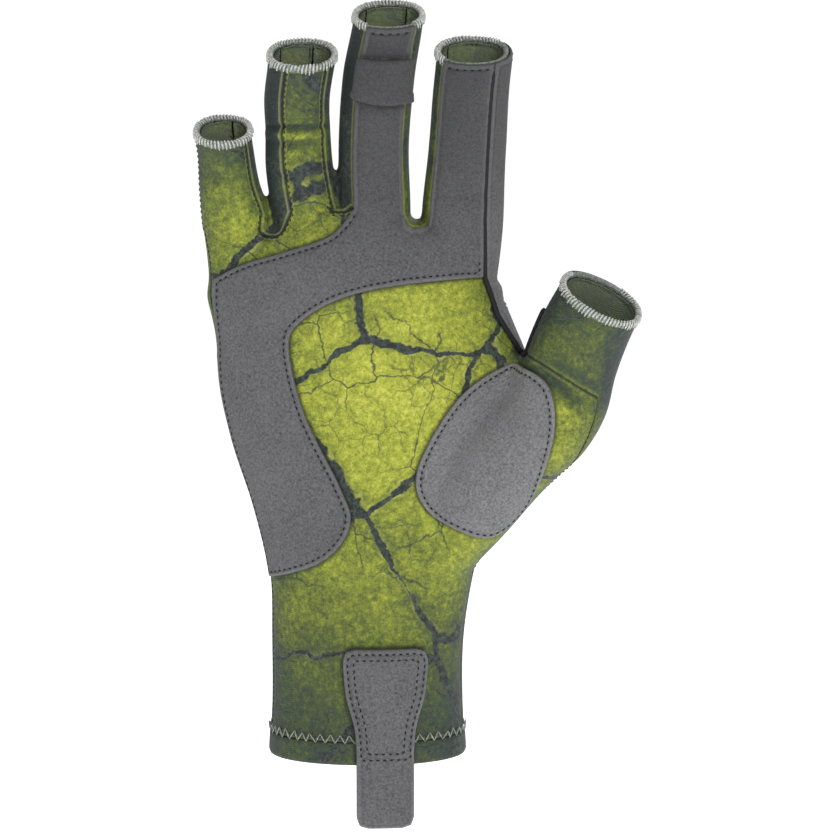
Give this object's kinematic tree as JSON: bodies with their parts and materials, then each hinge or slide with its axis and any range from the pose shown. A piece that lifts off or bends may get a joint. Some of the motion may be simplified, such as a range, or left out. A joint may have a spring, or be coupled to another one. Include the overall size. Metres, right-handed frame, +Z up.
{
  "type": "fishing glove",
  "caption": "Right-hand fishing glove in printed stretch cloth with open fingertips, grey palm patches and a pull tab at the cuff.",
  "frame": {"origin": "centre of the wrist opening, at the lower edge of the hem", "axes": "+Z up to the fingertips, -Y out of the palm, +X to the thumb side"},
  "size_m": [0.147, 0.0579, 0.2717],
  "materials": {
    "printed_cloth": "matt stretch knit with a cracked lime print",
    "dark_cloth": "matt stretch knit, folded and zigzag stitched",
    "grey_suede": "fine grained suede",
    "pale_thread": "overlock thread"
  },
  "bodies": {
    "root": {"palm_panel": "printed_cloth", "back_panel": "printed_cloth", "fourchette_little_ring": "printed_cloth", "fourchette_ring_middle": "printed_cloth", "fourchette_middle_index": "printed_cloth", "thumb_panel": "printed_cloth", "cuff_hem": "dark_cloth", "edging_little": "pale_thread", "edging_ring": "pale_thread", "edging_middle": "pale_thread", "edging_index": "pale_thread", "edging_thumb": "pale_thread", "palm_patch": "grey_suede", "thenar_patch": "grey_suede", "crotch_patch": "grey_suede", "middle_pull_band": "grey_suede", "pull_tab": "grey_suede"}
  },
  "joints": []
}
